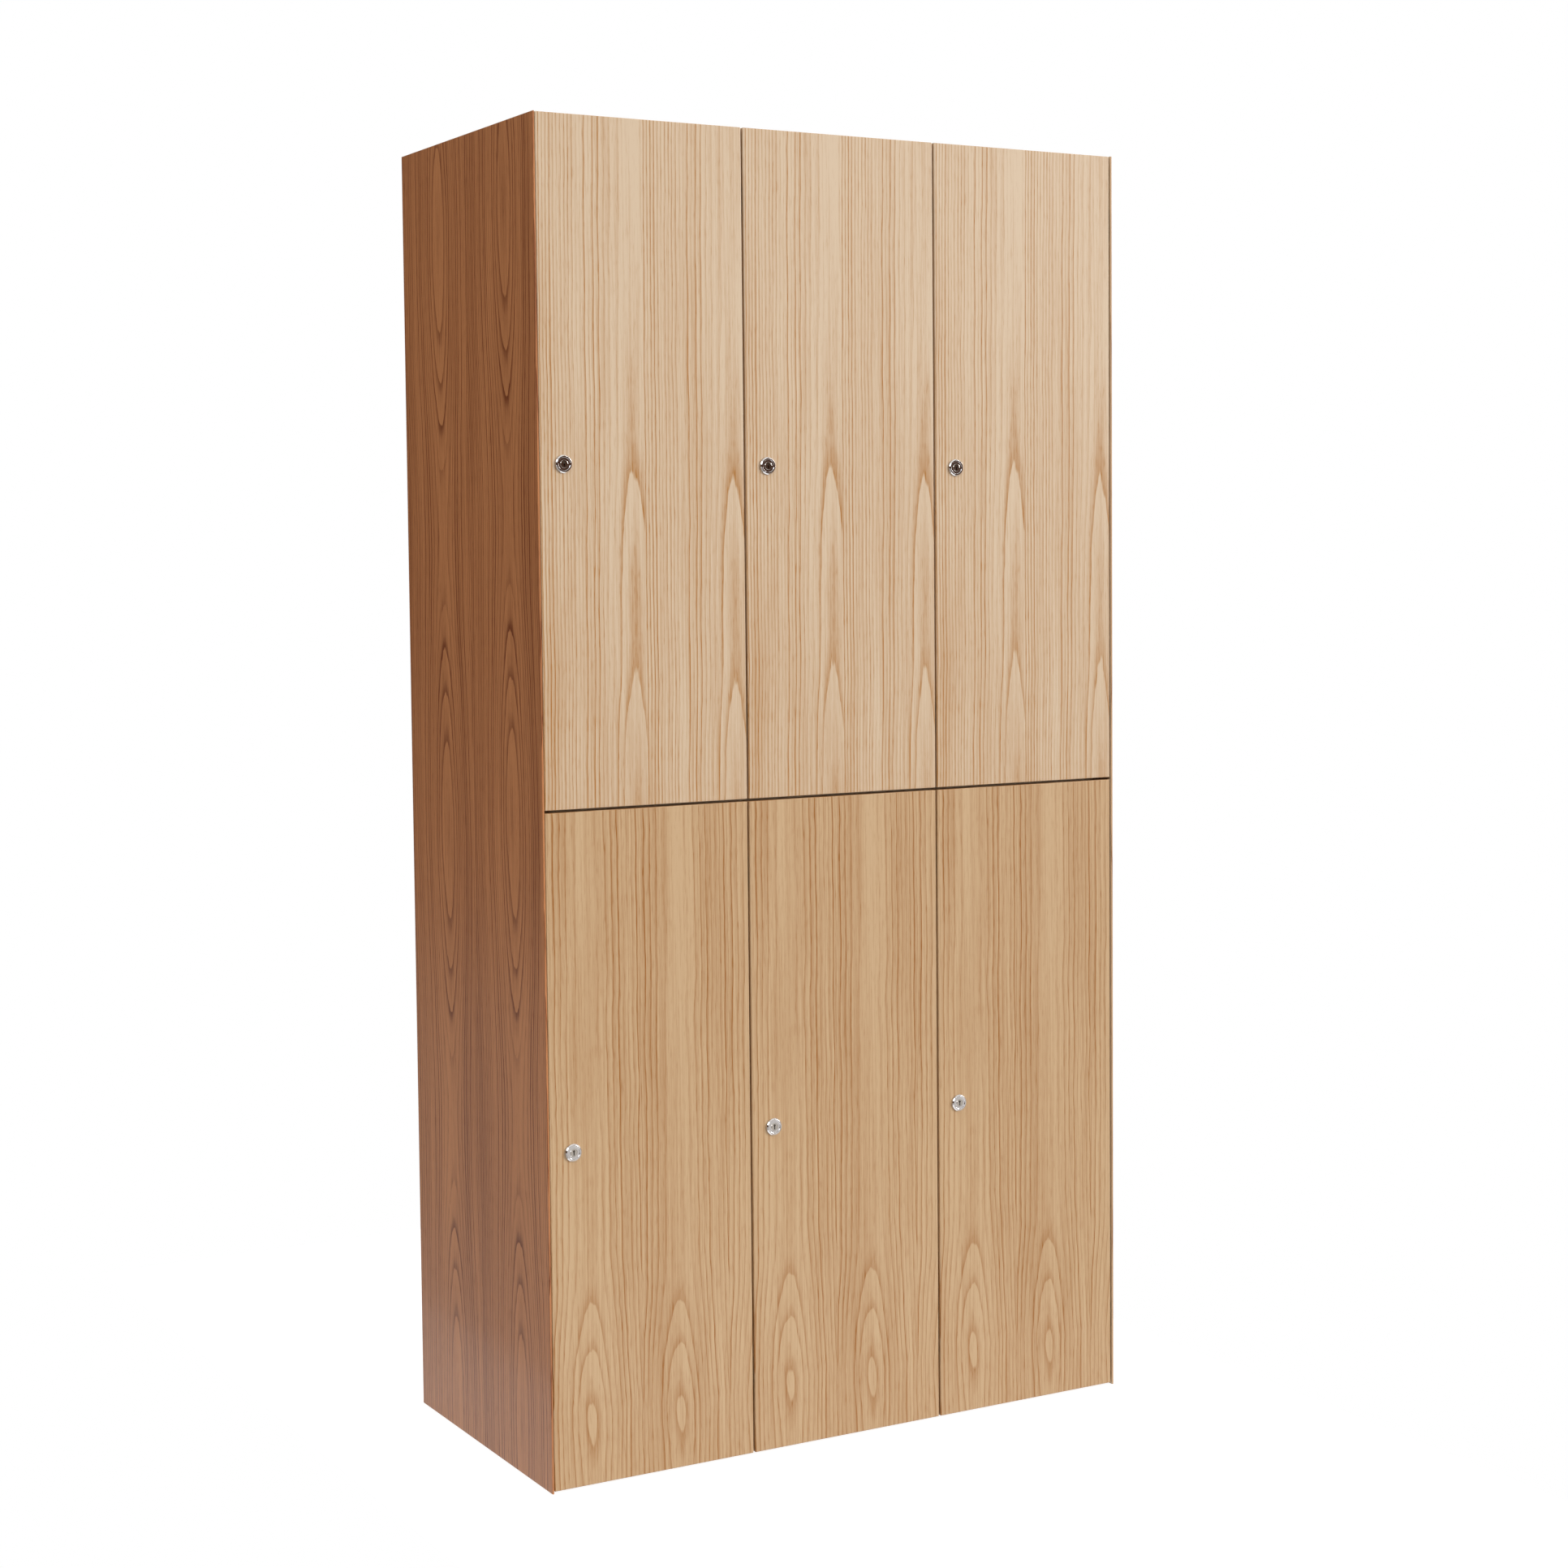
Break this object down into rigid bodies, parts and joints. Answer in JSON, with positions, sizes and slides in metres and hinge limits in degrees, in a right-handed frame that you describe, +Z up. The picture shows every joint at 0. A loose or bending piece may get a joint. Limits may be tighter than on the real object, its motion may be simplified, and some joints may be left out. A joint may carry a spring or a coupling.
{
  "type": "coin return locker",
  "caption": "Wooden locker bank in columns and two tiers, with slab doors, key cylinders, coin-return lock cases, bolts, hidden hinges and coat hooks.",
  "frame": {"origin": "on the floor, midway between the two sides and midway between the lock flanges' front and the back", "axes": "+X to the right as seen from the front, +Y towards the back, +Z up"},
  "size_m": [0.927, 0.46, 1.829],
  "materials": {
    "oak_end": "lacquered oak veneer, vertical grain",
    "oak_door": "lacquered oak veneer, vertical grain",
    "interior_board": "pale wood-grain laminate",
    "back_board": "plain hardboard with a pale face",
    "hinge_steel": "nickel-plated steel sheet",
    "hook_metal": "bright plated",
    "buffer_rubber": "clear-grey soft dots",
    "fitting_metal": "die-cast zinc",
    "screw_steel": "zinc-plated steel",
    "lock_plastic": "fine-textured black moulding",
    "lock_chrome": "polished chrome",
    "plug_nickel": "satin nickel",
    "bolt_steel": "zinc-plated steel",
    "gate_brass": "stamped brass"
  },
  "bodies": {
    "case": {"left_end_panel": "oak_end", "right_end_panel": "oak_end", "partition_1": "interior_board", "partition_2": "interior_board", "top_panel": "interior_board", "bottom_panel": "interior_board", "back_panel": "back_board", "tier_shelf_1": "interior_board", "tier_shelf_2": "interior_board", "tier_shelf_3": "interior_board", "anchor_rails": "interior_board", "hinge_arms": "hinge_steel", "strike_plates": "hinge_steel", "strike_blocks": "interior_board", "coat_hooks": "hook_metal", "door_buffers": "buffer_rubber", "cam_fittings": "fitting_metal", "case_screws": "screw_steel"},
    "door_1": {"door_1": "oak_door", "hinge_leaf_1": "hinge_steel", "lock_case_1": "lock_plastic", "lock_cylinder_1": "lock_chrome"},
    "plug_1": {"lock_plug_1": "plug_nickel", "lock_bolt_1": "bolt_steel"},
    "gate_1": {"coin_gate_1": "gate_brass"},
    "door_2": {"door_2": "oak_door", "hinge_leaf_2": "hinge_steel", "lock_case_2": "lock_plastic", "lock_cylinder_2": "lock_chrome"},
    "plug_2": {"lock_plug_2": "plug_nickel", "lock_bolt_2": "bolt_steel"},
    "gate_2": {"coin_gate_2": "gate_brass"},
    "door_3": {"door_3": "oak_door", "hinge_leaf_3": "hinge_steel", "lock_case_3": "lock_plastic", "lock_cylinder_3": "lock_chrome"},
    "plug_3": {"lock_plug_3": "plug_nickel", "lock_bolt_3": "bolt_steel"},
    "gate_3": {"coin_gate_3": "gate_brass"},
    "door_4": {"door_4": "oak_door", "hinge_leaf_4": "hinge_steel", "lock_case_4": "lock_plastic", "lock_cylinder_4": "lock_chrome"},
    "plug_4": {"lock_plug_4": "plug_nickel", "lock_bolt_4": "bolt_steel"},
    "gate_4": {"coin_gate_4": "gate_brass"},
    "door_5": {"door_5": "oak_door", "hinge_leaf_5": "hinge_steel", "lock_case_5": "lock_plastic", "lock_cylinder_5": "lock_chrome"},
    "plug_5": {"lock_plug_5": "plug_nickel", "lock_bolt_5": "bolt_steel"},
    "gate_5": {"coin_gate_5": "gate_brass"},
    "door_6": {"door_6": "oak_door", "hinge_leaf_6": "hinge_steel", "lock_case_6": "lock_plastic", "lock_cylinder_6": "lock_chrome"},
    "plug_6": {"lock_plug_6": "plug_nickel", "lock_bolt_6": "bolt_steel"},
    "gate_6": {"coin_gate_6": "gate_brass"}
  },
  "joints": [
    {"name": "door_1_swing", "type": "hinge", "parent": "case", "child": "door_1", "pos_m": [-0.163, -0.22, 1.373], "axis": [0, 0, 1], "range_deg": [0, 105]},
    {"name": "key_1_turn", "type": "hinge", "parent": "door_1", "child": "plug_1", "pos_m": [-0.426, -0.208, 1.373], "axis": [0, -1, 0], "range_deg": [0, 90]},
    {"name": "gate_1_tilt", "type": "hinge", "parent": "door_1", "child": "gate_1", "pos_m": [-0.426, -0.208, 1.36225], "axis": [0, -1, 0], "range_deg": [0, 35]},
    {"name": "door_2_swing", "type": "hinge", "parent": "case", "child": "door_2", "pos_m": [0.144, -0.22, 1.373], "axis": [0, 0, 1], "range_deg": [0, 105]},
    {"name": "key_2_turn", "type": "hinge", "parent": "door_2", "child": "plug_2", "pos_m": [-0.119, -0.208, 1.373], "axis": [0, -1, 0], "range_deg": [0, 90]},
    {"name": "gate_2_tilt", "type": "hinge", "parent": "door_2", "child": "gate_2", "pos_m": [-0.119, -0.208, 1.36225], "axis": [0, -1, 0], "range_deg": [0, 35]},
    {"name": "door_3_swing", "type": "hinge", "parent": "case", "child": "door_3", "pos_m": [0.451, -0.22, 1.373], "axis": [0, 0, 1], "range_deg": [0, 105]},
    {"name": "key_3_turn", "type": "hinge", "parent": "door_3", "child": "plug_3", "pos_m": [0.188, -0.208, 1.373], "axis": [0, -1, 0], "range_deg": [0, 90]},
    {"name": "gate_3_tilt", "type": "hinge", "parent": "door_3", "child": "gate_3", "pos_m": [0.188, -0.208, 1.36225], "axis": [0, -1, 0], "range_deg": [0, 35]},
    {"name": "door_4_swing", "type": "hinge", "parent": "case", "child": "door_4", "pos_m": [-0.163, -0.22, 0.4585], "axis": [0, 0, 1], "range_deg": [0, 105]},
    {"name": "key_4_turn", "type": "hinge", "parent": "door_4", "child": "plug_4", "pos_m": [-0.426, -0.208, 0.4585], "axis": [0, -1, 0], "range_deg": [0, 90]},
    {"name": "gate_4_tilt", "type": "hinge", "parent": "door_4", "child": "gate_4", "pos_m": [-0.426, -0.208, 0.44775], "axis": [0, -1, 0], "range_deg": [0, 35]},
    {"name": "door_5_swing", "type": "hinge", "parent": "case", "child": "door_5", "pos_m": [0.144, -0.22, 0.4585], "axis": [0, 0, 1], "range_deg": [0, 105]},
    {"name": "key_5_turn", "type": "hinge", "parent": "door_5", "child": "plug_5", "pos_m": [-0.119, -0.208, 0.4585], "axis": [0, -1, 0], "range_deg": [0, 90]},
    {"name": "gate_5_tilt", "type": "hinge", "parent": "door_5", "child": "gate_5", "pos_m": [-0.119, -0.208, 0.44775], "axis": [0, -1, 0], "range_deg": [0, 35]},
    {"name": "door_6_swing", "type": "hinge", "parent": "case", "child": "door_6", "pos_m": [0.451, -0.22, 0.4585], "axis": [0, 0, 1], "range_deg": [0, 105]},
    {"name": "key_6_turn", "type": "hinge", "parent": "door_6", "child": "plug_6", "pos_m": [0.188, -0.208, 0.4585], "axis": [0, -1, 0], "range_deg": [0, 90]},
    {"name": "gate_6_tilt", "type": "hinge", "parent": "door_6", "child": "gate_6", "pos_m": [0.188, -0.208, 0.44775], "axis": [0, -1, 0], "range_deg": [0, 35]}
  ],
  "couplings": [
    {"joint": "gate_1_tilt", "follows": "key_1_turn", "ratio": 0.38886},
    {"joint": "gate_2_tilt", "follows": "key_2_turn", "ratio": 0.38886},
    {"joint": "gate_3_tilt", "follows": "key_3_turn", "ratio": 0.38886},
    {"joint": "gate_4_tilt", "follows": "key_4_turn", "ratio": 0.38886},
    {"joint": "gate_5_tilt", "follows": "key_5_turn", "ratio": 0.38886},
    {"joint": "gate_6_tilt", "follows": "key_6_turn", "ratio": 0.38886}
  ]
}
